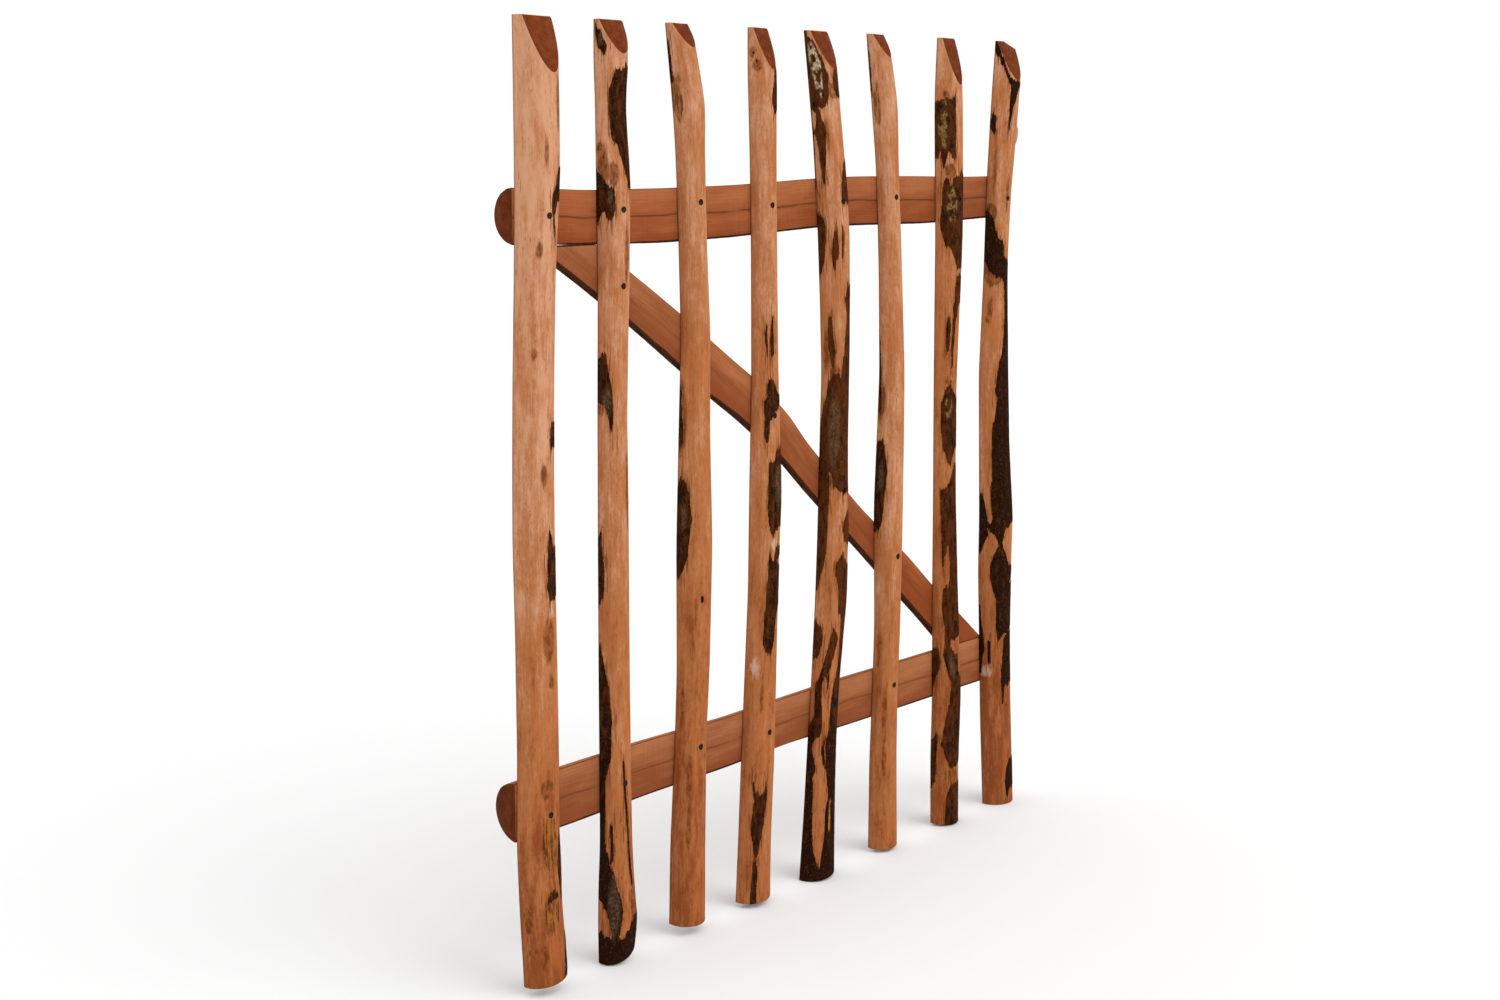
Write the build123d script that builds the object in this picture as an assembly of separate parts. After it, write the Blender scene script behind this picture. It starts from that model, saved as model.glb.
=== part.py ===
from build123d import *
import os
from math import atan2, cos, radians, sin

# Garden gate leaf of split hazel poles. X runs along the gate, -Y is the front, Z is up, in mm.
# The plane Y = 0 is where the flat backs of the pickets meet the flat faces of the rails and brace.

# Overall layout
gate_height = 1208.0
picket_pitch = 134.0
top_rail_height = 971.5
bottom_rail_height = 245.0
rail_overhang = 2.0  # how far a rail's sawn end stands out past the end picket's edge
brace_foot_inset = 12.0  # the brace's foot stands this far short of the middle of the last gap
brace_seat_gap = 0.3  # between a brace end and the edge of the rail that it is cut to

# Countersunk wood screws, driven from the front through each picket's crown
screw_head_diameter = 8.0
screw_shank_diameter = 4.5
screw_length = 45.0
screw_tip_length = 6.0
screw_tip_radius = 0.4
screw_sink = 2.0  # depth of the head's face under the picket's crown
screw_clearance = 0.1
crown_run_out = 15.0  # length of the hole's mouth, enough to come out through any crown
screw_band = 6.0  # half the height of the straight band round each screw
screw_flat_count = 8  # that stand for the round of so small a part

# Each pole is a list of stations: (share of its length, sideways wander, radius).
# Picket stations run from foot to tip, with the wander towards +X from the picket's own place.
picket_forms = [
    [(0, -2, 31.5), (0.05, -5, 31.5), (0.09, -8.5, 30.5), (0.16, -11, 30.7), (0.26, -9, 29.7),
     (0.38, -9.3, 29.2), (0.48, -10.5, 29.4), (0.64, -6.7, 28.7), (0.75, -1.5, 28.8), (0.86, 4.5, 31.5),
     (1, 4, 30.5)],
    [(0, -17.5, 25.5), (0.045, -13.5, 30), (0.09, -14.7, 27.2), (0.13, -14, 24.6), (0.32, -14, 23.5),
     (0.46, -13, 23.1), (0.6, -12.2, 22), (0.72, -8.5, 23.1), (0.84, -7.5, 24.5), (0.915, -10.5, 21.8),
     (0.965, -9, 25), (1, -9, 24)],
    [(0, -21, 29), (0.1, -19, 28), (0.23, -11.3, 25.4), (0.3, -6.7, 26.2), (0.44, -4, 28.4),
     (0.56, -2.4, 24.9), (0.67, 1, 23.2), (0.77, -3.3, 22.1), (0.87, -7.5, 22.7), (0.915, -9.6, 25.1),
     (1, -27, 20)],
    [(0, -26, 29.5), (0.08, -22, 27.8), (0.17, -16.2, 28), (0.28, -10, 26.5), (0.37, -4.7, 25.3),
     (0.48, -1, 26.7), (0.62, -1, 22.5), (0.75, -2.5, 21.6), (0.87, -5, 21.9), (0.95, -7, 23.3),
     (1, -11, 19.5)],
    [(0, -26, 30.8), (0.08, -20.5, 27.3), (0.17, -14.5, 25.3), (0.25, -7, 25.2), (0.34, 2.5, 27.8),
     (0.42, 6, 27.1), (0.52, 7, 24.7), (0.61, 9.7, 24.1), (0.69, 7.5, 25.7), (0.77, 4, 27.5),
     (0.88, -9, 25.6), (1, -29.7, 24.8)],
    [(0, -9.5, 27), (0.12, -10, 25.4), (0.2, -7, 23.8), (0.29, -2.9, 24.1), (0.44, -4, 26.7),
     (0.52, -0.6, 25), (0.6, 2, 23), (0.72, -3.5, 21.2), (0.85, -13, 20.7), (0.92, -21, 23.3),
     (1, -38, 19)],
    [(0, 7.5, 27), (0.09, 5, 27.2), (0.17, 7.5, 27.9), (0.32, 0.5, 24.3), (0.44, -3.5, 21.4),
     (0.56, -5.2, 21.8), (0.66, -4, 23.8), (0.76, -2.8, 25.5), (0.92, -8, 26.4), (1, -9, 21.5)],
    [(0, 12, 31), (0.12, 1.5, 31), (0.23, -5.2, 30.8), (0.32, -8.8, 33), (0.39, -8, 33.3),
     (0.48, -14.8, 30.1), (0.58, -20.2, 28.7), (0.71, -18, 23.3), (0.83, -12, 25), (0.92, -3, 27),
     (1, 5, 26.5)],
]
# Rail stations run from left to right, with the wander upwards from the rail's own height.
top_rail_form = [(0, 2, 34), (0.12, -3.2, 33.5), (0.25, -5, 34.8), (0.38, -3.5, 34.5), (0.54, 2.3, 34.1),
                 (0.63, 3.5, 34.5), (0.8, 0.7, 34.7), (0.9, 0.5, 32.4), (1, 1.5, 31)]
bottom_rail_form = [(0, -5, 38), (0.1, -4, 38.7), (0.22, -1.6, 37.2), (0.37, -3, 35.6), (0.49, 0, 34.4),
                    (0.63, -0.5, 36.4), (0.78, -1.9, 36), (1, -2.5, 36.5)]
# Brace stations run from head to foot and a little past both, with the wander up and to the right.
brace_form = [(-0.05, -15.5, 28), (0.03, -5.9, 28.2), (0.14, 6.3, 28.7), (0.22, 12.9, 30),
              (0.31, 18.6, 31), (0.37, 24.3, 31.2), (0.45, 25.5, 28.5), (0.5, 19.9, 25.3),
              (0.54, 16.9, 25.6), (0.66, 10.6, 24.4), (0.8, 8.4, 28), (0.87, 5.3, 27.4),
              (0.96, 2.6, 29.8), (1.05, 0.2, 30.6)]

# Saw cuts under the picket feet, the lowest of which sets the ground line: (height at the middle of
# the flat back, rise towards +X, rise towards the front)
foot_cuts = [(14.6, 0.13, 0.02), (12.7, 0.41, -0.21), (14.5, -0.02, -0.07), (7.8, 0.05, 0), (3.4, 0.11, 0),
             (7, 0.05, -0.1), (3, -0.03, -0.05), (0, 0, 0)]
foot_ring_height = 26.0  # of a ring that keeps the foot cut clear of the pole's bends

# Slanting cuts on the picket tips: (drop at the lowest point, turn from the front towards +X in
# degrees, place of the cut's top point from the left edge at -1 to the right edge at 1 or past it)
tip_cuts = [(64, 14, 1), (40, 10, 1), (25, 14, 1.15), (43, 13, 1), (47, 12, 1), (26, 14, 1.15),
            (55, 12, 1), (60, 9, -0.05)]
cut_margin = 10.0  # from the lowest point of a cut down to the ring under it

# Height of each screw above the middle of the rail or brace behind it, from picket 1 to picket 8
top_screw_scatter = [2, 10, 16, 5, 2, 5, 1, -2]
bottom_screw_scatter = [-3, 1, 17, 6, 13, 13, 1, 1]
brace_screw_scatter = {2: -3, 4: -1, 5: 10, 6: 2, 7: -3}

picket_count = len(picket_forms)
longest_stretch = 0.15  # share of a pole between two rings, past which it gets one more


def picket_place(number):
    """Nominal X of a picket, with the row centred on X = 0."""
    return (number - (picket_count + 1) / 2) * picket_pitch


def form_at(form, share):
    """Wander and radius of a pole at a share of its length, on a smooth curve through its stations."""
    here = max((i for i, station in enumerate(form[:-1]) if station[0] <= share), default=0)
    low, high = form[here], form[here + 1]
    before, after = form[max(here - 1, 0)], form[min(here + 2, len(form) - 1)]
    part = (share - low[0]) / (high[0] - low[0])

    def blend(k):
        span = high[0] - low[0]
        leave = (high[k] - before[k]) / (high[0] - before[0]) * span
        arrive = (after[k] - low[k]) / (after[0] - low[0]) * span
        rise = part**2 * (3 - 2 * part)
        bend = part * (1 - part) ** 2 * leave - part**2 * (1 - part) * arrive
        return low[k] + rise * (high[k] - low[k]) + bend

    return blend(1), blend(2)


def half_pole(form, start, run, wander_direction, flat_faces_back, extra_shares=()):
    """A pole lofted through rings across it, then sawn in half lengthwise along Y = 0."""
    stations = [station[0] for station in form]
    stretches = zip(stations, stations[1:])
    between = [(low + high) / 2 for low, high in stretches if high - low > longest_stretch]
    seam_side = (0, 1, 0) if flat_faces_back else (0, -1, 0)
    rings = []
    for share in sorted([*stations, *between, *extra_shares]):
        wander, radius = form_at(form, share)
        middle = start + run * share + wander_direction * wander
        rings.append(Plane(middle, x_dir=seam_side, z_dir=run.normalized()) * Circle(radius))
    pole = loft(rings, ruled=True)
    return split(pole, bisect_by=Plane.XZ, keep=Keep.TOP if flat_faces_back else Keep.BOTTOM)


def picket_section(number, height):
    """X of a picket's middle, and its radius, at a height."""
    wander, radius = form_at(picket_forms[number - 1], height / gate_height)
    return picket_place(number) + wander, radius


def make_picket(number, screw_heights):
    """Half-round upright with a sawn foot and a slanting cut across its tip.

    A narrow band round each screw, and a ring beside each cut, keep them clear of the pole's bends.
    """
    drop, turn, top_point = tip_cuts[number - 1]
    ring_heights = [height + side * screw_band for height in screw_heights for side in (-1, 1)]
    ring_heights += [foot_ring_height, gate_height - drop - cut_margin]
    start = Vector(picket_place(number), 0, 0)
    pole = half_pole(picket_forms[number - 1], start, Vector(0, 0, gate_height), Vector(1, 0, 0), True,
                     [height / gate_height for height in ring_heights])
    lift, side_rise, front_rise = foot_cuts[number - 1]
    middle, _ = picket_section(number, 0)
    foot = Plane((middle, 0, lift), z_dir=(-side_rise, front_rise, 1))
    pole = split(pole, bisect_by=foot, keep=Keep.TOP)
    middle, radius = picket_section(number, gate_height)
    pivot = Vector(middle + top_point * radius, 0, gate_height)
    fall = Vector(sin(radians(turn)), -cos(radians(turn)), 0)
    reach = radius - fall.X * top_point * radius
    slope = atan2(drop, reach)
    cut = Plane(pivot, z_dir=fall * sin(slope) + Vector(0, 0, cos(slope)))
    return split(pole, bisect_by=cut, keep=Keep.BOTTOM)


def rail_ends(height):
    """X of a rail's two sawn ends, just past the outer edges of the end pickets."""
    left, left_radius = picket_section(1, height)
    right, right_radius = picket_section(picket_count, height)
    return left - left_radius - rail_overhang, right + right_radius + rail_overhang


def make_rail(form, height):
    """Half-round rail with its flat face forwards, against the pickets' backs."""
    left, right = rail_ends(height)
    return half_pole(form, Vector(left, 0, height), Vector(right - left, 0, 0), Vector(0, 0, 1), False)


def rail_middle(form, height, x):
    """Height of the middle of a rail at a place along it, and its radius there."""
    left, right = rail_ends(height)
    wander, radius = form_at(form, (x - left) / (right - left))
    return height + wander, radius


def brace_line():
    """Head point, run to the foot, and upward normal of the line between the rails' inner edges."""
    head_x, foot_x = picket_place(1) + picket_pitch / 2, picket_place(picket_count) - picket_pitch / 2
    head_middle, head_radius = rail_middle(top_rail_form, top_rail_height, head_x)
    foot_middle, foot_radius = rail_middle(bottom_rail_form, bottom_rail_height, foot_x)
    head = Vector(head_x, 0, head_middle - head_radius)
    foot = Vector(foot_x - brace_foot_inset, 0, foot_middle + foot_radius)
    run = foot - head
    return head, run, Vector(-run.Z, 0, run.X).normalized()


def make_brace(top_rail, bottom_rail):
    """Half-round diagonal, cut level at both ends where it would run into the rails."""
    head, run, normal = brace_line()
    pole = half_pole(brace_form, head, run, normal, False)
    head_cut = (pole & top_rail).bounding_box().min.Z - brace_seat_gap
    foot_cut = (pole & bottom_rail).bounding_box().max.Z + brace_seat_gap
    pole = split(pole, bisect_by=Plane.XY.offset(head_cut), keep=Keep.BOTTOM)
    return split(pole, bisect_by=Plane.XY.offset(foot_cut), keep=Keep.TOP)


def brace_middle(x):
    """Height of the middle of the brace at a place along the gate."""
    head, run, normal = brace_line()
    share = (x - head.X) / run.X
    wander, _ = form_at(brace_form, share)
    return head.Z + run.Z * share + wander / normal.Z


def screw_place(number, middle, scatter):
    """Point at the face of a screw's head, a little under the crown of a picket."""
    x, _ = picket_section(number, middle(picket_place(number)))
    z = middle(x) + scatter
    x, radius = picket_section(number, z)
    return Vector(x, screw_sink - radius, z)


def stack(sections):
    """A small round part along +Y through (place along it, radius) sections, drawn with flats."""
    rings = []
    for place, radius in sections:
        rings.append(Plane((0, place, 0), z_dir=(0, 1, 0)) * RegularPolygon(radius, screw_flat_count))
    return loft(rings, ruled=True)


def screw():
    """Countersunk screw with the face of its head at Y = 0."""
    head, shank = screw_head_diameter / 2, screw_shank_diameter / 2
    return stack([(0, head), (head - shank, shank), (screw_length - screw_tip_length, shank),
                  (screw_length, screw_tip_radius)])


def screw_hole():
    """The hole a screw leaves, open to the front so that its head sits under the surface."""
    head = screw_head_diameter / 2 + screw_clearance
    shank = screw_shank_diameter / 2 + screw_clearance
    return stack([(-crown_run_out, head), (0, head), (head - shank, shank),
                  (screw_length + screw_clearance, shank)])


def drilled(pole, places):
    """A pole with a hole at each screw place."""
    return pole - [Pos(place) * screw_hole() for place in places]


def all_screw_places():
    """Screw places behind each picket, by the piece that the screws go into."""
    def rail_screws(form, height, scatter):
        def middle(x):
            return rail_middle(form, height, x)[0]
        return {n: screw_place(n, middle, scatter[n - 1]) for n in range(1, picket_count + 1)}

    return {
        "top_rail": rail_screws(top_rail_form, top_rail_height, top_screw_scatter),
        "bottom_rail": rail_screws(bottom_rail_form, bottom_rail_height, bottom_screw_scatter),
        "brace": {n: screw_place(n, brace_middle, scatter) for n, scatter in brace_screw_scatter.items()},
    }


def make_gate():
    """Every node of the gate leaf, by name."""
    places = all_screw_places()
    top_rail = make_rail(top_rail_form, top_rail_height)
    bottom_rail = make_rail(bottom_rail_form, bottom_rail_height)
    frame = {"top_rail": top_rail, "bottom_rail": bottom_rail, "brace": make_brace(top_rail, bottom_rail)}
    nodes = {name: drilled(pole, places[name].values()) for name, pole in frame.items()}
    for number in range(1, picket_count + 1):
        through = [row[number] for row in places.values() if number in row]
        nodes[f"picket_{number}"] = drilled(make_picket(number, [place.Z for place in through]), through)
    for name, row in places.items():
        nodes[f"{name}_screws"] = Compound([Pos(place) * screw() for place in row.values()])
    return nodes


os.makedirs("parts", exist_ok=True)
for name, shape in make_gate().items():
    export_step(shape, f"parts/{name}.step")
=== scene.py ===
"""Garden gate of split hazel poles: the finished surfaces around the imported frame, in metres."""

from itertools import product
from math import cos, pi, radians, sin
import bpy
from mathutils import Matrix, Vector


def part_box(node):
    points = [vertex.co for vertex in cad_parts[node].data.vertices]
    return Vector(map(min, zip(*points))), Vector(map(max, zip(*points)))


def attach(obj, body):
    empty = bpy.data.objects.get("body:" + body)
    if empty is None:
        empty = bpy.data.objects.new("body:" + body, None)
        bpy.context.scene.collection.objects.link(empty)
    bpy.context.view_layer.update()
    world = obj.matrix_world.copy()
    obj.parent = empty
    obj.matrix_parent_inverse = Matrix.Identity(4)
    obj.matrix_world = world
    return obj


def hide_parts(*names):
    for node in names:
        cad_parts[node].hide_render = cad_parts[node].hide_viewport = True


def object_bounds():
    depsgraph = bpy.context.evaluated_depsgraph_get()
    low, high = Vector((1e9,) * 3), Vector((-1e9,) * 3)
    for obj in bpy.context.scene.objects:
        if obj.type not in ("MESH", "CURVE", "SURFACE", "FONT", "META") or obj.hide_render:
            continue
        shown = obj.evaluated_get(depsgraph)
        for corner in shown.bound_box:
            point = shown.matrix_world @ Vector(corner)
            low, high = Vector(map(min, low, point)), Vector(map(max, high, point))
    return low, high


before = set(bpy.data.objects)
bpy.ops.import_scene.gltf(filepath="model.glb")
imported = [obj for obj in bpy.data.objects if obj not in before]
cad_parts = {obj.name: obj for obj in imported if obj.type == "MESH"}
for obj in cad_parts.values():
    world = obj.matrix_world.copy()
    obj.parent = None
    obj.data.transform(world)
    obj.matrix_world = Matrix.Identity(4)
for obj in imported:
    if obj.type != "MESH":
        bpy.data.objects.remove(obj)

from types import SimpleNamespace

import bmesh
import bpy
import numpy as np
from mathutils import Vector
from mathutils.bvhtree import BVHTree

CAD_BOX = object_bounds()
MM = 0.001

# Camera, fitted to the photograph
CAMERA_PLACE = (-1.9457, -1.7677, 1.0755)
CAMERA_YAW = 46.36  # degrees from +Y towards +X
CAMERA_PITCH = -8.37
CAMERA_LENS = 45.83
CAMERA_SHIFT = -0.06

SUN_RUN = (-0.35, 0.75, -0.75)  # the way the soft main light travels

# Mesh of a pole
RING_STEP = 2 * MM  # from one ring to the next along a pole
ARC_POINTS = 45  # points round the half circle of a ring
FLAT_POINTS = 15  # points across its flat face
ARRIS = 1.2 * MM  # rounding of the edges between the two
CUT_WEAR = 0.5 * MM  # rounding of the edges of a saw cut
SMOOTHING = 14 * MM  # how far a pole's bends are evened out
OVERRUN = 0.03  # how far a pole is first drawn past its sawn ends
PROBE_DEPTH = 0.05 * MM  # depth under the flat face at which its edges are found
PROBE_START = 300 * MM  # to the side of a pole, where the search for its edge begins
END_LEAN = 0.3  # a face that turns further than this along the pole belongs to a sawn end
ARC_REACH = 87.5  # degrees from the crown to the last point of the half circle
FLAT_SHARE = 0.92  # of the half width that the flat face's own points cover
FIT_POINTS = 8  # at each end, that carry a pole straight on past it
SHARP_POLE, SHARP_SCREW = 48, 40  # degrees between faces that meet in a sharp edge

# Relief
BARK_THICKNESS = 0.5 * MM
WOOD_DEPTH = 0.3 * MM  # of the peeled wood under the even pole that the bark comes up to
RIM_WIDTH = 3.0 * MM  # bark seen edge-on along a sawn face, and along the lower edge of the rails bark and painted shade of their round back in one
BRACE_RIM_WITH_SHADE = 6.0 * MM  # the same along the lower edge of the brace, where it is also painted shade of its round back
UPPER_RIM = 0.2 * MM  # the same along the upper edge of the rails and the brace
ON_FLAT = 0.25 * MM  # a point less far out than this lies on the sawn face
OUTSIDE = -20.0  # depth in mm of a point that no mark reaches

# Screws
HEAD_RADIUS = 4.0 * MM
HOLE_CLEARANCE = 0.1 * MM
SHANK_RADIUS = 2.25 * MM
SCREW_SIDES = 28
SCREW_SPACING = 20 * MM  # from one screw of a group to the next there is more than this
HOLE_FRONT, HOLE_DEPTH = -12 * MM, 46 * MM  # ends of a hole's cutter, from the front of the head
# Outline of a screw: how far behind the front of its head, and the radius there
SCREW_PROFILE = [
    (1.6 * MM, 0.3 * MM), (1.5 * MM, 1.2 * MM), (0.05 * MM, 1.9 * MM), (0, 2.1 * MM),
    (0, HEAD_RADIUS - 0.2 * MM), (0.2 * MM, HEAD_RADIUS), (HEAD_RADIUS - SHANK_RADIUS, SHANK_RADIUS),
    (38 * MM, SHANK_RADIUS), (44.5 * MM, 0.4 * MM),
]

# Marks on the round side of each picket. Most rows are as a program printed them, from places
# read off the photograph. Heights are in mm above the ground, sides in degrees
# from the crown, where -90 is the left edge and 90 the right one. An oval mark has its lowest and
# highest place and its left and right side. An outlined one has rows of (height, left, right).
EDGE = 98  # past either edge
MARKS = {
    "picket_1": [
        ("bark", (946, 20, 26), (978, 9, 16), (989, 8, 30), (1000, 9, EDGE), (1032, 29, EDGE)),
        ("stain", 1082, 1142, 22, 42), ("stain", 1034, 1064, -15, -7), ("stain", 924, 942, -32, -15),
        ("stain", 803, 817, -39, -25),
        ("bark", (693, 18, 50), (709, 14, EDGE), (725, 18, 50)), ("stain", 649, 674, -15, 6),
        ("bark", (506, 8, 14), (522, 2, EDGE), (559, 2, EDGE), (574, 4, 30), (594, 9, 13)),
        ("pale", 484, 506, 0, 24), ("stain", 428, 484, -14, 20), ("stain", 396, 414, 0, 16),
        ("stain", 260, 283, -27, 6), ("honey", 165, 236, -24, 20), ("bark", 126, 208, 21, 50),
        ("stain", 173, 228, -23, -12), ("bark", (124, -14, -5), (129, -15, 18), (137, -8, 17)),
        ("honey", 82, 136, -23, 19), ("stain", 86, 130, -24, -13), ("stain", 87, 121, -76, -54),
        ("stain", 53, 66, -68, -48), ("stain", 40, 68, -41, -23), ("bark", (20, 22, EDGE), (74, 39, EDGE)),
    ],
    "picket_2": [
        ("bark", (1166, -55, -50), (1175, -72, -45), (1191, -80, -61), (1200, -84, -77)),
        ("grey", 1176, 1193, -69, -52),
        ("bark", (999, 25, EDGE), (1050, -12, EDGE), (1066, -36, EDGE), (1105, -40, EDGE), (1123, -38, EDGE),
         (1147, -19, EDGE), (1154, 20, EDGE)),
        ("knot", 1036, 1064, -86, -48), ("stain", 1010, 1044, -80, -44), ("stain", 1006, 1034, -46, -16),
        ("stain", 890, 956, 6, 26),
        ("bark", (960, -EDGE, -81), (970, -EDGE, -75), (989, -EDGE, -33), (1004, -EDGE, -38),
         (1026, -EDGE, -84)),
        ("bark", (963, -49, -42), (980, -62, -29), (1002, -68, -31)), ("grey", 975, 1006, -52, -34),
        ("bark", (699, -39, -36), (717, -46, -31), (737, -66, -33), (743, -EDGE, -34), (789, -EDGE, -52),
         (800, -70, -57)),
        ("stain", 722, 748, -EDGE, -56), ("grey", 715, 764, -70, -38), ("stain", 575, 672, 15, 48),
        ("bark", (478, -EDGE, -87), (486, -EDGE, -73), (500, -EDGE, -64), (557, -EDGE, -70), (573, -79, -73)),
        ("bark", (30, -59, EDGE), (40, -47, -31), (75, -64, -18), (86, -76, -20), (93, -EDGE, -24),
         (157, -EDGE, -63), (183, -EDGE, -69), (243, -EDGE, -66), (284, -EDGE, -47), (330, -EDGE, -43),
         (370, -EDGE, -51), (427, -EDGE, -79)),
        ("bark", (140, -52, -41), (188, -52, -46)),
        ("bark", (-20, -EDGE, EDGE), (29, -83, EDGE), (34, -22, EDGE), (64, 19, EDGE)),
        ("bark", (-20, -EDGE, EDGE), (46, -EDGE, -80)), ("grey", 38, 126, -60, -25),
        ("bark", (105, 12, 24), (190, 2, 9), (275, -12, -4)), ("stain", 50, 108, 6, 60),
    ],
    "picket_3": [
        ("honey", (1085, -74, -60), (1104, -92, -50), (1126, -92, -54), (1142, -84, -68)),
        ("bark", (1135, -EDGE, -75), (1186, -EDGE, -80)), ("stain", 1132, 1143, -66, -53),
        ("stain", 656, 748, -EDGE, -62), ("bark", (664, -EDGE, -75), (688, -EDGE, -71), (736, -EDGE, -81)),
        ("bark", (494, -EDGE, -70), (513, -EDGE, -57), (573, -EDGE, -43), (606, -EDGE, -50), (625, -78, -62)),
        ("grey", 556, 598, -75, -56), ("pit", 456, 466, -15, -4), ("stain", 290, 341, -72, -60),
        ("stain", 190, 252, -45, -30), ("stain", 168, 194, -39, -34), ("stain", 122, 176, -42, -29),
    ],
    "picket_4": [
        ("stain", 1168, 1183, -80, -56), ("stain", 1150, 1168, -68, -38), ("pit", 1173, 1177, -70, -60),
        ("pit", 1160, 1167, -58, -50), ("pit", 1153, 1156, -48, -42), ("pit", 1164, 1167, -77, -72),
        ("bark", (1098, 17, EDGE), (1103, 4, EDGE), (1114, -1, EDGE), (1157, 18, EDGE)),
        ("bark", (768, -12, -6), (778, -20, 2), (808, -16, -4), (825, -9, -2)),
        ("bark", (771, -31, -25), (805, -38, -26), (817, -34, -29)),
        ("bark", (652, -34, -30), (659, -40, -26), (685, -38, -19), (691, -40, -8), (699, -40, 10),
         (708, -40, 50), (716, -31, 50), (724, -32, 13), (732, -29, 8), (742, -13, -8)),
        ("bark", (525, -12, -6), (532, -18, 3), (541, -23, EDGE), (569, -31, EDGE), (627, -23, EDGE),
         (633, -3, EDGE), (645, 13, EDGE)),
        ("grey", 560, 625, -5, 35), ("pale", 503, 523, -18, 14),
        ("bark", (487, -1, 12), (497, 3, 50), (509, 6, 50)),
        ("bark", (358, -16, -5), (376, -34, 9), (415, -31, 17), (430, -27, 50), (479, -24, 50),
         (488, -24, 0), (499, -20, -16)),
        ("pale", 328, 358, -69, -40), ("stain", 279, 325, -36, -27),
        ("bark", (72, -35, -30), (116, -51, -11), (158, -43, -4), (164, -42, -4)),
        ("bark", (160, -45, -39), (180, -52, -48)), ("bark", (157, -12, -3), (179, -10, -5)),
        ("bark", (-20, -50, -30), (49, -42, -27), (66, -38, -33)),
    ],
    "picket_5": [
        ("bark", (1099, -EDGE, -67), (1104, -EDGE, -39), (1126, -EDGE, -22), (1148, -EDGE, -19),
         (1182, -EDGE, -46), (1204, -EDGE, -77), (1240, -EDGE, -82)),
        ("lichen", (1117, -50, -42), (1126, -61, -41), (1166, -77, -40), (1194, -78, -66)),
        ("bark", (1118, 14, EDGE), (1131, -2, EDGE), (1142, -5, EDGE), (1160, 9, EDGE)),
        ("honey", 1116, 1140, -27, 24), ("bark", (992, -EDGE, -84), (1110, -EDGE, -84)),
        ("bark", (996, -60, -55), (1064, -75, -45), (1070, -81, -41), (1101, -68, -60)),
        ("stain", 1053, 1082, -43, -36), ("bark", (973, -4, EDGE), (999, -6, EDGE), (1032, 16, EDGE)),
        ("bark", (874, -EDGE, -85), (893, -EDGE, -70), (917, -EDGE, -63), (940, -EDGE, -61),
         (962, -EDGE, -77)),
        ("bark", (877, -39, -34), (897, -45, -30), (904, -47, -22), (948, -31, -27)),
        ("bark", (892, -13, -9), (923, -14, -4), (941, -11, -7)),
        ("bark", (710, -21, EDGE), (818, 10, EDGE), (839, -3, EDGE), (860, 7, EDGE)),
        ("bark", (747, -51, -42), (767, -58, -37), (791, -64, -44), (817, -58, -50)),
        ("stain", 742, 796, -78, -58), ("stain", 722, 748, -55, -20),
        ("bark", (564, -EDGE, EDGE), (647, -EDGE, EDGE), (723, -58, EDGE), (730, -51, -14), (739, -50, -43)),
        ("grey", 598, 712, -58, -16), ("wood", (556, -50, 11), (578, -51, -41), (596, -53, -46)),
        ("stain", 571, 622, -86, -2), ("bark", (423, -EDGE, -84), (473, -EDGE, -58), (573, -EDGE, -51)),
        ("bark", (485, 23, EDGE), (497, 2, EDGE), (512, -5, EDGE), (526, -1, EDGE), (538, 23, EDGE)),
        ("bark", (-32, -EDGE, EDGE), (15, -33, EDGE), (68, -19, EDGE), (108, -17, EDGE), (119, -10, EDGE),
         (194, -27, EDGE), (225, -16, EDGE), (263, -14, EDGE), (315, 4, EDGE), (384, 3, EDGE),
         (396, -11, EDGE), (429, -15, EDGE), (450, -28, EDGE), (460, -27, 17), (469, -24, 7), (479, -3, 2)),
        ("bark", (325, -EDGE, -72), (347, -EDGE, -57), (361, -EDGE, -56), (373, -EDGE, -64),
         (382, -EDGE, -83)),
        ("bark", (207, -EDGE, -65), (215, -EDGE, -44), (226, -82, -41), (241, -69, -43), (289, -71, -49),
         (299, -62, -44), (308, -55, -27), (353, -32, -4), (369, -25, -20)),
        ("bark", (283, -31, -26), (303, -36, -28)), ("stain", 250, 286, -27, -20),
        ("bark", (-32, -EDGE, EDGE), (15, -EDGE, -33), (60, -EDGE, -56), (153, -EDGE, -62), (165, -EDGE, -57),
         (193, -EDGE, -70), (214, -EDGE, -68)),
        ("bark", (160, -26, -20), (194, -41, -29), (212, -33, -27)), ("wood", (70, -4, 2), (115, -5, 1)),
    ],
    "picket_6": [
        ("honey", (1082, -76, -58), (1112, -84, -52), (1133, -78, -62)),
        ("bark", (1127, -EDGE, -79), (1193, -EDGE, -84)), ("stain", 1129, 1140, -68, -57),
        ("stain", 655, 714, -EDGE, -62), ("bark", (666, -EDGE, -73), (788, -EDGE, -86)),
        ("bark", (492, -EDGE, -68), (506, -EDGE, -60), (571, -EDGE, -47), (591, -EDGE, -49), (623, -82, -63)),
        ("grey", 552, 597, -75, -56), ("stain", 284, 341, -73, -59), ("stain", 187, 254, -47, -31),
        ("stain", 162, 192, -39, -34), ("stain", 116, 168, -44, -30),
    ],
    "picket_7": [
        ("knot", 1117, 1134, -64, -38),
        ("bark", (1033, -EDGE, -14), (1115, -EDGE, -16), (1120, -43, -18)),
        ("bark", (1019, -59, -55), (1045, -69, -44)), ("wood", (1022, -76, -66), (1042, -74, -68)),
        ("wood", (1022, -47, -8), (1036, -46, -31), (1046, -42, -37)),
        ("moss", (1046, -60, -50), (1074, -78, -42), (1116, -62, -48)), ("stain", 1002, 1025, -54, -16),
        ("bark", (868, -1, EDGE), (895, -27, EDGE), (913, -55, EDGE), (933, -70, EDGE), (1000, -59, EDGE),
         (1009, 0, EDGE)),
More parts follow.
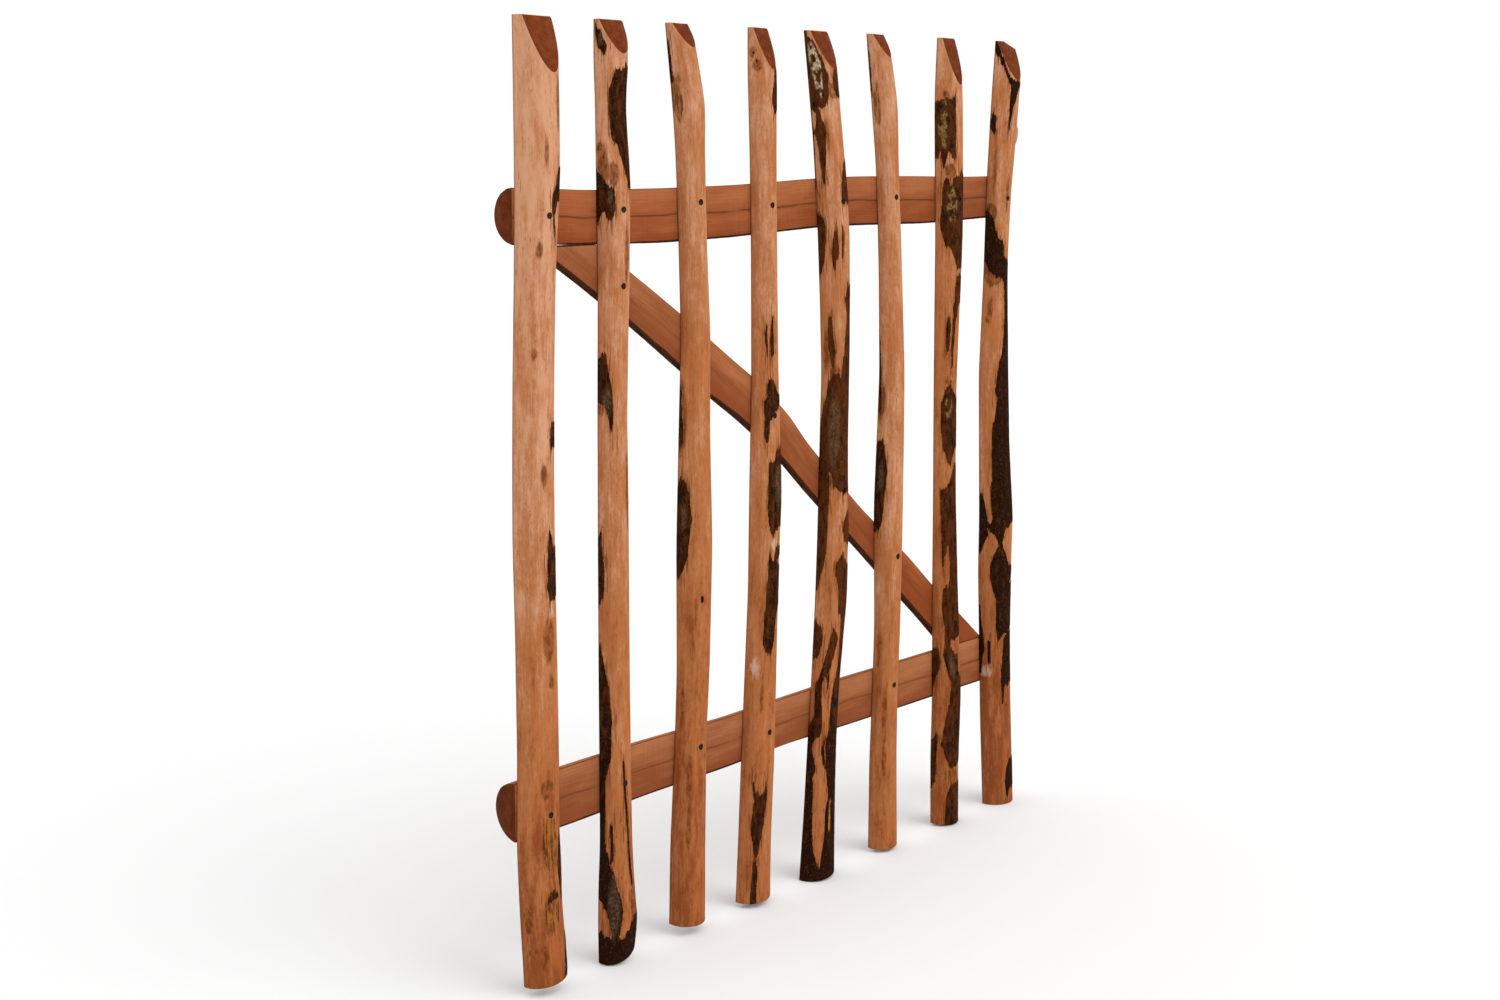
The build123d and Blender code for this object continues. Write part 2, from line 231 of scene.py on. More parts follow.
        ("bark", (900, -49, -44), (919, -57, -37)), ("wood", (993, -36, -29), (1008, -40, -25)),
        ("moss", (934, -30, -20), (955, -50, -8), (972, -50, -10), (990, -42, -22)),
        ("bark", (798, -11, 3), (811, -18, 8), (823, -13, 50), (860, -5, 50)),
        ("bark", (716, -18, -12), (798, -17, -1)),
        ("bark", (746, -39, -32), (784, -42, -23), (800, -38, -32)),
        ("knot", 693, 705, -46, -4),
        ("bark", (573, -23, -12), (592, -40, 6), (604, -49, 50), (634, -58, 50), (669, -56, 50),
         (680, -47, 2), (693, -33, -17)),
        ("moss", 640, 682, -42, -8),
        ("bark", (275, -41, -29), (298, -43, -23), (316, -43, EDGE), (355, -52, EDGE), (371, -49, EDGE),
         (387, -42, EDGE), (391, -23, EDGE), (407, -20, EDGE), (432, -50, EDGE), (537, -56, EDGE),
         (543, -22, EDGE), (571, 4, EDGE)),
        ("wood", (388, -51, -25), (421, -43, -18), (448, -30, -24)),
        ("bark", (416, -48, -43), (441, -50, -41)),
        ("bark", (96, -18, 2), (109, -35, EDGE), (133, -53, EDGE), (223, -22, EDGE), (233, -25, EDGE),
         (243, -35, 10), (274, -50, 10), (285, -46, -29)),
        ("grey", (236, -20, -7), (248, -28, -1), (261, -33, -3), (274, -31, -20)),
        ("bark", (208, -EDGE, -92), (268, -EDGE, -59), (287, -EDGE, -62)), ("honey", 66, 104, -41, 17),
        ("bark", (-20, -40, EDGE), (44, -35, EDGE), (70, -18, EDGE)),
        ("bark", (63, -EDGE, -83), (76, -EDGE, -71), (133, -EDGE, -63), (148, -73, -64)),
    ],
    "picket_8": [
        ("bark", (1072, -23, -19), (1110, -24, -10), (1134, -25, 12), (1143, -26, 50), (1152, -36, -24),
         (1188, -78, -62), (1199, -EDGE, -69), (1240, -EDGE, -75)),
        ("bark", (1067, -71, -65), (1083, -EDGE, -66), (1092, -85, -65), (1099, -83, -76)),
        ("lump", 1052, 1084, 34, 80), ("stain", 980, 1048, -65, -55), ("stain", 956, 1004, -12, 2),
        ("stain", 933, 963, -EDGE, -45),
        ("bark", (850, -40, -12), (860, -62, -9), (884, -EDGE, -7), (904, -EDGE, -12), (911, -EDGE, -39),
         (941, -EDGE, -59), (953, -EDGE, -80)),
        ("stain", 838, 884, -89, -4),
        ("bark", (431, -32, -22), (439, -36, -17), (449, -EDGE, -16), (458, -71, -11), (471, -50, EDGE),
         (503, -54, EDGE), (614, -47, EDGE), (664, -29, EDGE), (677, -37, EDGE), (746, -9, EDGE),
         (800, 1, EDGE), (830, -1, EDGE), (854, -11, EDGE), (881, -19, 1)),
        ("wood", (429, -73, -35), (446, -60, -44), (456, -65, -60)), ("stain", 780, 818, -66, -50),
        ("knot", 775, 797, -75, -56),
        ("bark", (417, -EDGE, -83), (458, -EDGE, -52), (471, -EDGE, -63), (511, -EDGE, -78)),
        ("bark", (274, -33, -26), (284, -35, -11), (310, -37, EDGE), (342, -37, EDGE), (355, -46, EDGE),
         (366, -51, 13), (383, -53, 50), (399, -54, 8), (433, -29, -22)),
        ("bark", (218, -EDGE, -86), (260, -EDGE, -71), (329, -EDGE, -83)),
        ("bark", (238, -61, -54), (274, -62, -52)),
        ("pale", 214, 233, -86, -52),
        ("bark", (169, -19, -14), (198, -22, -7), (210, -23, EDGE), (275, -11, EDGE), (289, 8, EDGE)),
        ("stain", 154, 196, -6, 2),
        ("bark", (11, -9, -4), (24, -12, 0), (41, -14, EDGE), (58, -10, EDGE), (77, 6, EDGE)),
    ],
}
# How pale the wood of each pole is at its foot or left end, middle, and tip or right end, from 0 to 1
TONES = {
    "picket_1": (0.1, 0.72, 1.0), "picket_2": (0.3, 0.62, 0.85), "picket_3": (0.14, 0.5, 0.68),
    "picket_4": (0.32, 0.55, 0.72), "picket_5": (0.4, 0.55, 0.75), "picket_6": (0.28, 0.72, 0.75),
    "picket_7": (0.16, 0.40, 0.68), "picket_8": (0.05, 0.5, 0.75),
    "top_rail": (0.42, 0.38, 0.15), "bottom_rail": (0.2, 0.32, 0.36), "brace": (0.36, 0.22, -0.1),
}
# How pale the bark is on the lowest tenth of a pole and from its third tenth up
BARK_TONES = {"picket_2": (-0.1, 0.35), "picket_5": (0.0, 0.7), "picket_7": (0.45, 0.6), "picket_8": (0, 0)}
PLAIN_BARK = (0.4, 0.4)
# How red the sawn faces of the frame are at their left and right end, from 0 to 1
REDNESS = {"top_rail": (1, 0.3), "brace": (0, 1)}
# How strong the dark heart line of the sawn faces is, where it isn't at its full strength of 1
HEART = {"brace": 0.2, "bottom_rail": 0.65}
BARE_SHARE = 0.42  # how much of the rails and the brace the bark covers
PEELED_TURN = 55  # degrees from the crown, past which their upper side is bare
KINDS = ("bark", "wood", "grey", "stain", "honey", "pale", "lichen", "moss", "pit", "knot", "lump")
# Ragged edges of the marks, in mm
FRAY_DEPTH = 1.1  # across the grain
FRAY_SIZE = (5, 5, 22)
FRINGE_DEPTH = 8.0  # along the grain, at a mark's ends
FRINGE_SIZE = (3.4, 3.4, 60)
END_SLOPE = 0.35  # how fast the depth of a mark grows from its ends
FRINGED_HEIGHT = 50  # marks lower than this have shorter fringes
FRAYED_WIDTH = 7  # and narrower than this finer edges


def noise(points, size, seed):
    """Smooth random values from -1 to 1, changing over about the given size in mm along each axis."""
    cells = points / (np.asarray(size, float) * MM) + 31.7 * seed
    base = np.floor(cells).astype(np.int64)
    part = cells - base
    part = part * part * (3 - 2 * part)
    total = np.zeros(len(points))
    for corner in product((0, 1), repeat=3):
        mixed = (base + corner) @ np.array([374761393, 668265263, 974634777]) & 0xFFFFFFFF
        mixed = ((mixed ^ (mixed >> 13)) * 1274126177) & 0xFFFFFFFF
        value = (mixed ^ (mixed >> 16)) / 0x7FFFFFFF - 1
        total += value * np.prod(np.where(corner, part, 1 - part), axis=1)
    return total


def layered(points, size, seed, layers=3):
    """Noise with finer and weaker noise on top."""
    size = np.asarray(size, float)
    total = sum(noise(points, size / 2**k, seed + k) / 2**k for k in range(layers))
    return total / (2 - 0.5 ** (layers - 1))


def ramp(value, low, high):
    """0 below low, 1 above high, and a smooth rise between them."""
    part = np.clip((value - low) / (high - low), 0, 1)
    return part * part * (3 - 2 * part)


class Pole:
    """A half-round pole, read off the flat sawn face of its CAD node.

    Places on it are (across, out, along): out is the round side's direction from the flat face.
    """

    def __init__(self, name, out, run=None):
        self.name, self.out = name, Vector(out)
        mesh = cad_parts[name].data
        corners = [v.co.copy() for v in mesh.vertices]
        self.tree = BVHTree.FromPolygons(corners, [p.vertices[:] for p in mesh.polygons])
        if run is None:
            flat = np.array([c[:] for c in corners if abs(c.y) < PROBE_DEPTH])
            spread = np.linalg.svd(flat - flat.mean(0), full_matrices=False)[2][0]
            run = spread * np.sign(spread[0])
        self.run = Vector(run).normalized()
        self.across = Vector((-self.run.z, 0, self.run.x)) if abs(self.run.x) > 0.1 else Vector((1, 0, 0))
        self.middle = sum(corners, Vector()) / len(corners)
        along = [c.dot(self.run) for c in corners]
        self.low, self.high = min(along), max(along)
        self.read()

    def edge(self, place, side):
        """How far across one edge of the flat face lies, or None on a sawn end and past it."""
        start = self.run * place + self.across * (self.middle.dot(self.across) + side * PROBE_START)
        hit, normal = self.tree.ray_cast(start + self.out * PROBE_DEPTH, self.across * -side)[:2]
        return None if hit is None or abs(normal.dot(self.run)) > END_LEAN else hit.dot(self.across)

    def read(self):
        """The middle and half width of the flat face at each ring, without the CAD model's corners."""
        self.places = np.arange(self.low - OVERRUN, self.high + OVERRUN, RING_STEP)
        edges = []
        for side in (-1, 1):
            found = [(place, self.edge(place, side)) for place in np.arange(self.low, self.high, RING_STEP)]
            edges.append(self.even(*np.array([pair for pair in found if pair[1] is not None]).T))
        self.centre = (edges[0] + edges[1]) / 2
        self.radius = (edges[1] - edges[0]) / 2

    def even(self, inside, values):
        """Values carried straight on past both ends, and evened out along the pole."""
        first, last = slice(None, FIT_POINTS), slice(-FIT_POINTS, None)
        ends = [np.polyfit(inside[part], values[part], 1) for part in (first, last)]
        margin = 4 * SMOOTHING
        wide = np.arange(self.places[0] - margin, self.places[-1] + margin, RING_STEP)
        full = np.interp(wide, inside, values)
        full = np.where(wide < inside[0], np.polyval(ends[0], wide), full)
        full = np.where(wide > inside[-1], np.polyval(ends[1], wide), full)
        rings = round(3 * SMOOTHING / RING_STEP)
        weights = np.exp(-0.5 * (np.arange(-rings, rings + 1) * RING_STEP / SMOOTHING) ** 2)
        return np.interp(self.places, wide, np.convolve(full, weights / weights.sum(), "same"))

    def section(self):
        """Ring shape: share of the radius and of the arris, across and out, for each point."""
        reach = radians(ARC_REACH)
        points = [(sin(a), 0, cos(a), 0) for a in np.linspace(-reach, reach, ARC_POINTS)]
        points += [(1, -0.3, 0, 0.3), (1, -1, 0, 0)]
        points += [(t, 0, 0, 0) for t in np.linspace(FLAT_SHARE, -FLAT_SHARE, FLAT_POINTS)]
        points += [(-1, 1, 0, 0), (-1, 0.3, 0, 0.3)]
        return np.array(points)

    def rings(self):
        """Pole coordinates of every ring point, as an array of (across, out, along)."""
        shape = self.section()
        across = self.radius[:, None] * shape[:, 0] + ARRIS * shape[:, 1]
        out = self.radius[:, None] * shape[:, 2] + ARRIS * shape[:, 3]
        along = np.repeat(self.places[:, None], len(shape), axis=1)
        return np.stack([across, out, along], axis=-1)

    def world(self, local):
        """Pole coordinates turned into places in the frame."""
        centre = np.interp(local[:, 2], self.places, self.centre)
        return (np.outer(local[:, 2], self.run) + np.outer(local[:, 0] + centre, self.across)
                + np.outer(local[:, 1], self.out))

    def local(self, places):
        """Places in the frame turned into pole coordinates."""
        along = places @ np.array(self.run)
        centre = np.interp(along, self.places, self.centre)
        across, out = places @ np.array(self.across) - centre, places @ np.array(self.out)
        return np.stack([across, out, along], axis=-1)


def oval_depth(turn, arc, height, shape):
    """Depth inside an oval mark in mm: positive within it, falling to below zero outside."""
    low, high, left, right = shape
    half_height, half_width = (high - low) / 2, (right - left) / 2
    rise = (height - low) / half_height - 1
    side = (turn - left) / half_width - 1
    return (1 - np.hypot(rise, side)) * np.minimum(half_width * arc, half_height)


def outline_depth(turn, arc, height, rows):
    """The same inside an outline given by its left and right side at some heights."""
    heights, lefts, rights = np.array(rows, float).T
    side = np.minimum(turn - np.interp(height, heights, lefts), np.interp(height, heights, rights) - turn)
    end = np.minimum(height - heights[0], heights[-1] - height)
    return np.minimum(side * arc, end * END_SLOPE)


def marks_of(pole, local, radius, seed):
    """Each kind of mark on a pole, with ragged edges, as depth in mm at each point."""
    kinds = {kind: np.full(len(local), OUTSIDE) for kind in KINDS}
    turn = np.degrees(np.arctan2(local[:, 0], np.maximum(local[:, 1], 0)))
    arc = radius / MM * radians(1)
    fringe = FRINGE_DEPTH * layered(local, FRINGE_SIZE, seed + 41, 2)
    fray = FRAY_DEPTH * layered(local, FRAY_SIZE, seed)
    for kind, *shape in MARKS.get(pole.name, ()):
        outlined = isinstance(shape[0], tuple)
        rows = shape if outlined else [(place, *shape[2:]) for place in shape[:2]]
        tall = rows[-1][0] - rows[0][0]
        wide = np.mean([right - left for _, left, right in rows]) * arc.mean()
        height = local[:, 2] / MM + fringe * min(1, tall / FRINGED_HEIGHT)
        depth = (outline_depth if outlined else oval_depth)(turn, arc, height, shape)
        kinds[kind] = np.maximum(kinds[kind], depth + fray * min(1, 0.3 + wide / FRAYED_WIDTH))
    if pole.name not in MARKS:
        bare = layered(local, (30, 30, 140), seed + 5)
        kinds["bark"] = np.minimum(6 * (bare + BARE_SHARE), (PEELED_TURN - turn) * arc)
    kinds["bark"] = np.minimum(kinds["bark"], -kinds.pop("wood"))
    return kinds


def relief(pole, local, radius, kinds, seed):
    """How far the surface stands out from the even pole, in metres."""
    lumps = 0.35 * MM * layered(local, (34, 34, 90), seed + 11, 2)
    fibres = 0.10 * MM * layered(local, (2.2, 2.2, 30), seed + 13, 2)
    bark = ramp(kinds["bark"], -0.4, 0.8)
    crust = 0.22 * MM * layered(local, (4.5, 4.5, 11), seed + 17)
    total = lumps + fibres + bark * (BARK_THICKNESS + crust) - WOOD_DEPTH
    total -= 0.5 * MM * ramp(kinds["grey"], 0.0, 2.5)
    total -= 0.5 * MM * ramp(kinds["honey"], -1.0, 3.0)
    total -= 1.6 * MM * ramp(kinds["pit"], -0.6, 1.4)
    total += 2.4 * MM * ramp(kinds["knot"], -7.0, 4.0) - 1.5 * MM * ramp(kinds["knot"], 3.0, 7.0)
    total += 3.0 * MM * ramp(kinds["lump"], -2.0, 6.0)
    return total


def share_along(pole, local):
    """How far along the pole each point lies, from 0 to 1."""
    return (local[:, 2] - pole.low) / (pole.high - pole.low)


def tone_of(pole, local, seed):
    """How pale the wood is at each point, from 0 to 1."""
    tone = np.interp(share_along(pole, local), [0, 0.5, 1], TONES[pole.name])
    return tone + 0.16 * layered(local, (30, 30, 120), seed + 19)


def radius_at(pole, local):
    return np.interp(local[:, 2], pole.places, pole.radius)


def dressed_points(pole, seed):
    """Ring points of a pole with its lumps, fibres, bark and knots."""
    local = pole.rings().reshape(-1, 3)
    radius = radius_at(pole, local)
    kinds = marks_of(pole, local, radius, seed)
    roundness = ramp(local[:, 1], 0, 2 * ARRIS)
    lift = relief(pole, local, radius, kinds, seed) * roundness
    length = np.hypot(local[:, 0], local[:, 1])
    grown = local.copy()
    grown[:, :2] *= (1 + lift / np.maximum(length, MM))[:, None]
    saw_marks = 0.06 * MM * (1 + noise(local, (90, 90, 2.6), seed + 23))
    grown[:, 1] += np.where(local[:, 1] < PROBE_DEPTH, saw_marks, 0)
    places = pole.world(grown)
    for side in (0, 1):
        places[:, side] = np.clip(places[:, side], CAD_BOX[0][side], CAD_BOX[1][side])
    return places


def place_object(name, data):
    """A new object in the scene."""
    made = bpy.data.objects.new(name, data)
    bpy.context.scene.collection.objects.link(made)
    return made


def face_outward(mesh):
    """Turns the faces outward, in closed bodies that are all made the same way round."""
    if mesh.calc_volume(signed=True) < 0:
        bmesh.ops.reverse_faces(mesh, faces=mesh.faces)


def tube(pole, points):
    """A closed mesh through a pole's rings."""
    count = len(pole.section())
    mesh = bmesh.new()
    corners = [mesh.verts.new(p) for p in points]
    for ring in range(len(pole.places) - 1):
        here, there = ring * count, (ring + 1) * count
        for i in range(count):
            j = (i + 1) % count
            mesh.faces.new((corners[here + i], corners[here + j], corners[there + j], corners[there + i]))
    mesh.faces.new(reversed(corners[:count]))
    mesh.faces.new(corners[-count:])
    face_outward(mesh)
    return mesh


def saw(mesh, place, normal):
    """Cuts off what lies past a plane, and closes the cut with a face whose edges are a little worn."""
    everything = mesh.verts[:] + mesh.edges[:] + mesh.faces[:]
    at = Vector(place) - Vector(normal) * CUT_WEAR
    cut = bmesh.ops.bisect_plane(mesh, geom=everything, plane_co=at, plane_no=normal, clear_outer=True)
    edges = [e for e in cut["geom_cut"] if isinstance(e, bmesh.types.BMEdge)]
    faces = bmesh.ops.holes_fill(mesh, edges=edges)["faces"]
    bmesh.ops.inset_region(mesh, faces=faces, thickness=CUT_WEAR, depth=CUT_WEAR, use_even_offset=False)
    for face in faces:
        face.material_index = CUT
    return faces


def sawn_face(node, along):
    """A point on the sawn end of a picket that faces the given way, and its normal."""
    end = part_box(node)[along > 0]
    planes = {}
    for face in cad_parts[node].data.polygons:
        if face.normal.z * along > 0.2 and abs(face.center.z - end.z) < 0.1:
            planes.setdefault(tuple(round(n, 3) for n in face.normal), []).append(face)
    widest = max(planes.values(), key=lambda faces: sum(face.area for face in faces))
    return widest[0].center, widest[0].normal


ROUND, SAWN, CUT, HOLE = range(4)


def screw_places(group):
    """Where the head of each screw of a group lies, from left to right."""
    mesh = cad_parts[group].data
    fronts = sorted((v.co.copy() for v in mesh.vertices), key=lambda c: c.x)
    places = []
    for corner in fronts:
        if not places or corner.x - places[-1][-1].x > SCREW_SPACING:
            places.append([])
        places[-1].append(corner)
    middles = []
    for cluster in places:
        front = min(c.y for c in cluster)
        rim = [c for c in cluster if c.y < front + 0.1 * MM]
        middles.append(sum(rim, Vector()) / len(rim))
    return middles


SCREWS = {group: screw_places(group) for group in ("top_rail_screws", "bottom_rail_screws", "brace_screws")}


def lathe(mesh, middle, profile, sides=SCREW_SIDES):
    """Adds a closed round body along +Y through (place along it, radius) sections."""
    rings = []
    for place, radius in profile:
        ring = []
        for i in range(sides):
            angle = 2 * pi * i / sides
            ring.append(mesh.verts.new(middle + Vector((radius * cos(angle), place, radius * sin(angle)))))
        rings.append(ring)
    for low, high in zip(rings, rings[1:]):
        for i in range(sides):
            j = (i + 1) % sides
            mesh.faces.new((low[i], low[j], high[j], high[i]))
    mesh.faces.new(reversed(rings[0]))
    mesh.faces.new(rings[-1])


def hole_profile():
    head, shank = HEAD_RADIUS + HOLE_CLEARANCE, SHANK_RADIUS + HOLE_CLEARANCE
    return [(HOLE_FRONT, head), (0, head), (head - shank, shank), (HOLE_DEPTH, shank)]


def drill(piece, box):
    """Takes the screw holes out of a pole."""
    cutter = bmesh.new()
    for places in SCREWS.values():
        for place in places:
            if box[0].x < place.x < box[1].x and box[0].z < place.z < box[1].z:
                lathe(cutter, place, hole_profile())
    if not cutter.verts:
        return
    face_outward(cutter)
    for face in cutter.faces:
        face.material_index = HOLE
    mesh = bpy.data.meshes.new("cutter")
    cutter.to_mesh(mesh)
    for material in piece.data.materials:
        mesh.materials.append(material)
    tool = place_object("cutter", mesh)
    step = piece.modifiers.new("holes", "BOOLEAN")
    step.object, step.operation, step.solver = tool, "DIFFERENCE", "MANIFOLD"
    shown = piece.evaluated_get(bpy.context.evaluated_depsgraph_get())
    drilled = bpy.data.meshes.new_from_object(shown)
    piece.modifiers.clear()
    piece.data = drilled
    bpy.data.objects.remove(tool)


def paint(pole, piece, seed):
    """Writes the pole's coordinates and marks to the mesh, for the materials to read."""
    mesh = piece.data
    places = np.zeros(len(mesh.vertices) * 3, np.float32)
    mesh.vertices.foreach_get("co", places)
    local = pole.local(places.reshape(-1, 3).astype(float))
    radius = radius_at(pole, local)
    kinds = marks_of(pole, local, radius, seed)
    # Along the lower edge of the rails and the brace the dark rim is wider: bark and painted shade under the
    # round back.
    lower = BRACE_RIM_WITH_SHADE if pole.name == "brace" else RIM_WIDTH
    width = lower if pole.name in MARKS else np.where(local[:, 0] < 0, lower, UPPER_RIM)
    rim = (width - radius + np.abs(local[:, 0])) / MM
    on_flat = local[:, 1] < ON_FLAT
    uneven = layered(local, (6, 6, 30), seed + 29)
    kinds["bark"] = np.where(on_flat, np.minimum(kinds["bark"], 1.5 * (rim + uneven)), kinds["bark"])
    del kinds["lump"]
    for kind in kinds:
        if kind != "bark":
            kinds[kind] = np.where(on_flat, OUTSIDE, kinds[kind])
    kinds["tone"] = tone_of(pole, local, seed)
    share = share_along(pole, local)
    kinds["bark_tone"] = np.interp(share, [0.1, 0.3], BARK_TONES.get(pole.name, PLAIN_BARK))
    kinds["redness"] = np.interp(share, [0, 1], REDNESS.get(pole.name, (0, 0)))
    kinds["heart"] = np.full(len(local), HEART.get(pole.name, 1.0))
    for name, values in kinds.items():
        layer = mesh.attributes.new(name, "FLOAT", "POINT")
        layer.data.foreach_set("value", values.astype(np.float32))
    layer = mesh.attributes.new("pole", "FLOAT_VECTOR", "POINT")
    layer.data.foreach_set("vector", local.astype(np.float32).ravel())


def find_sawn_face(pole, piece):
    """Gives the flat face its own material."""
    for face in piece.data.polygons:
        if face.material_index == ROUND and face.normal.dot(pole.out) < -0.99:
            face.material_index = SAWN


def make_pole(pole, seed, cuts):
    """One pole, dressed, sawn to length and drilled, in place of its CAD node."""
    mesh = tube(pole, dressed_points(pole, seed))
    for place, normal in cuts:
        saw(mesh, place, normal)
    data = bpy.data.meshes.new(pole.name + "_wood")
    mesh.to_mesh(data)
    piece = place_object(pole.name + "_wood", data)
    for material in (PEELED, SAWN_WOOD, CUT_WOOD, HOLE_PAINTED_SHADE):
        data.materials.append(material)
    drill(piece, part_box(pole.name))
    find_sawn_face(pole, piece)
    paint(pole, piece, seed)
    piece.data.shade_smooth()
    piece.data.set_sharp_from_angle(angle=radians(SHARP_POLE))
    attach(piece, "root")
    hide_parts(pole.name)
    return piece


class Surface:
    """A material under construction, with short calls for its nodes."""

    def __init__(self, name, roughness, gloss=0.03):
        self.material = bpy.data.materials.new(name)
        self.material.use_nodes = True
        self.nodes, self.links = self.material.node_tree.nodes, self.material.node_tree.links
        self.shader = self.nodes["Principled BSDF"]
        self.shader.inputs["Roughness"].default_value = roughness
        self.shader.inputs["Specular IOR Level"].default_value = gloss

    def feed(self, socket, value):
        if isinstance(value, bpy.types.NodeSocket):
            self.links.new(value, socket)
        else:
            socket.default_value = value

    def attribute(self, name, vector=False):
        node = self.nodes.new("ShaderNodeAttribute")
        node.attribute_name = name
        return node.outputs["Vector" if vector else "Fac"]

    def math(self, operation, a, b=0.0):
        node = self.nodes.new("ShaderNodeMath")
        node.operation = operation
        self.feed(node.inputs[0], a)
        self.feed(node.inputs[1], b)
        return node.outputs[0]

    def add(self, a, b):
        return self.math("ADD", a, b)

    def times(self, a, b):
        return self.math("MULTIPLY", a, b)

    def swing(self, pattern, weight):
        """A pattern from 0 to 1 made to swing round 0, and weighted."""
        return self.times(self.math("SUBTRACT", pattern, 0.5), weight)

    def varied(self, value, *parts):
        """A value with each (pattern, weight) pair added to it."""
        for pattern, weight in parts:
            value = self.add(value, self.swing(pattern, weight))
        return value

    def waves(self, distance, step):
        """Lines from -1 to 1 that repeat at each step, in metres."""
        return self.math("SINE", self.times(distance, 2 * pi / step))

    def split(self, vector):
        node = self.nodes.new("ShaderNodeSeparateXYZ")
        self.links.new(vector, node.inputs[0])
        return node.outputs

    def stretched(self, vector, factors):
        node = self.nodes.new("ShaderNodeVectorMath")
        node.operation = "MULTIPLY"
        self.feed(node.inputs[0], vector)
        node.inputs[1].default_value = factors
        return node.outputs[0]

    def noise(self, vector, size, detail=3.0, roughness=0.55):
        """Noise from 0 to 1 whose spots are about the given size, in mm."""
        node = self.nodes.new("ShaderNodeTexNoise")
        self.feed(node.inputs["Vector"], vector)
        node.inputs["Scale"].default_value = 1 / (size * MM)
        node.inputs["Detail"].default_value = detail
        node.inputs["Roughness"].default_value = roughness
        return node.outputs["Fac"]

    def grain(self, pole, along, size, detail, roughness):
        """Noise drawn out along a pole: the smaller the factor along it, the longer its spots."""
        return self.noise(self.stretched(pole, (1, 1, along)), size, detail, roughness)

    def between(self, value, low, high, bottom=0.0, top=1.0):
        """A smooth rise from bottom to top as the value goes from low to high."""
        node = self.nodes.new("ShaderNodeMapRange")
        node.interpolation_type = "SMOOTHSTEP"
        inputs = {"Value": value, "From Min": low, "From Max": high, "To Min": bottom, "To Max": top}
        for name, given in inputs.items():
            self.feed(node.inputs[name], given)
        return node.outputs[0]

    def mix(self, share, a, b):
        node = self.nodes.new("ShaderNodeMix")
        node.data_type = "RGBA"
        self.feed(node.inputs[0], share)
        for socket, colour in ((node.inputs[6], a), (node.inputs[7], b)):
            self.feed(socket, (*colour, 1) if isinstance(colour, tuple) else colour)
        return node.outputs[2]

    def finish(self, colour, height, distance, roughness=None):
        """Joins colour and bump, with the bump's height in mm at a height of 1."""
        self.links.new(colour, self.shader.inputs["Base Color"])
        bump = self.nodes.new("ShaderNodeBump")
        bump.inputs["Strength"].default_value = 1.0
        bump.inputs["Distance"].default_value = distance * MM
        self.feed(bump.inputs["Height"], height)
        self.links.new(bump.outputs[0], self.shader.inputs["Normal"])
        if roughness is not None:
            self.links.new(roughness, self.shader.inputs["Roughness"])
        return self.material


def pole_grains(s, pole):
    """The patterns that several parts of a peeled pole share."""
    torn = s.grain(pole, 0.05, 1.6, 3, 0.6)
    edge = s.grain(pole, 0.4, 1.2, 3, 0.6)
    return SimpleNamespace(
        streak=s.grain(pole, 0.055, 2.4, 4, 0.6),
        broad=s.grain(pole, 0.2, 12, 3, 0.6),
        blotch=s.grain(pole, 0.5, 5, 4, 0.6),
        fine=s.grain(pole, 0.2, 0.9, 3, 0.6),
        mottle=s.grain(pole, 0.35, 6, 4, 0.6),
        crust=s.grain(pole, 0.6, 2.2, 4, 0.65),
        ragged=s.add(s.swing(edge, 2.4), s.swing(torn, 5.2)),
    )


def bare_wood(s, pole, grains):
    """Colour of the peeled wood, without its marks, with painted shade along the edges of its round side."""
    streak, broad, blotch, fine = grains.streak, grains.broad, grains.blotch, grains.fine
    tone = s.varied(s.attribute("tone"), (streak, 0.6), (broad, 1.0), (blotch, 0.55), (fine, 0.45))
    wood = s.mix(s.between(tone, 0.0, 0.5), (0.235, 0.060, 0.017), (0.390, 0.135, 0.045))
    wood = s.mix(s.between(tone, 0.45, 1.1), wood, (0.57, 0.29, 0.165))
    orange = s.between(s.grain(pole, 0.3, 20, 2, 0.5), 0.52, 0.72, 0, 0.5)
    wood = s.mix(orange, wood, (0.42, 0.125, 0.032))
    flecks = s.between(s.grain(pole, 0.25, 1.8, 2, 0.5), 0.66, 0.74, 0, 0.6)
    wood = s.mix(flecks, wood, (0.16, 0.045, 0.013))
    out = s.split(pole)[1]
    # Painted shade: a dark band on the round side next to the sawn face, where the side turns away from the
    # light.
    arris = s.times(s.between(out, 3.5 * MM, 0.5 * MM), s.between(broad, 0.3, 0.6, 0.3, 0.8))
    return s.mix(arris, wood, (0.10, 0.030, 0.010))


def marked_wood(s, wood, grains):
    """The wood with its stains, golden scars, pale scuffs, knots and pits."""
    blotch, ragged = grains.blotch, grains.ragged
    smeared = s.add(s.attribute("stain"), s.times(ragged, 0.9))
    stained = s.mix(s.between(blotch, 0.38, 0.62), (0.110, 0.028, 0.007), (0.27, 0.078, 0.018))
    wood = s.mix(s.between(smeared, -1.8, 1.2, 0, 0.85), wood, stained)
    patchy = s.add(s.times(grains.streak, 0.6), s.times(blotch, 0.4))
    golden = s.mix(s.between(patchy, 0.43, 0.56), (0.060, 0.018, 0.005), (0.30, 0.105, 0.020))
    honey = s.between(s.add(s.attribute("honey"), s.times(ragged, 1.2)), -0.8, 1.4, 0, 0.8)
    wood = s.mix(honey, wood, golden)
    scuffed = s.add(s.attribute("pale"), s.swing(blotch, 12))
    wood = s.mix(s.between(scuffed, -2.0, 5.0, 0, 0.6), wood, (0.60, 0.45, 0.33))
    knot = s.between(s.add(s.attribute("knot"), s.times(ragged, 1.2)), 0.0, 4.0, 0, 0.85)
    knotty = s.mix(s.between(blotch, 0.43, 0.56), (0.045, 0.013, 0.005), (0.30, 0.090, 0.028))
    wood = s.mix(knot, wood, knotty)
    pit = s.between(s.attribute("pit"), -0.4, 0.8)
    return s.mix(pit, wood, (0.012, 0.006, 0.004))


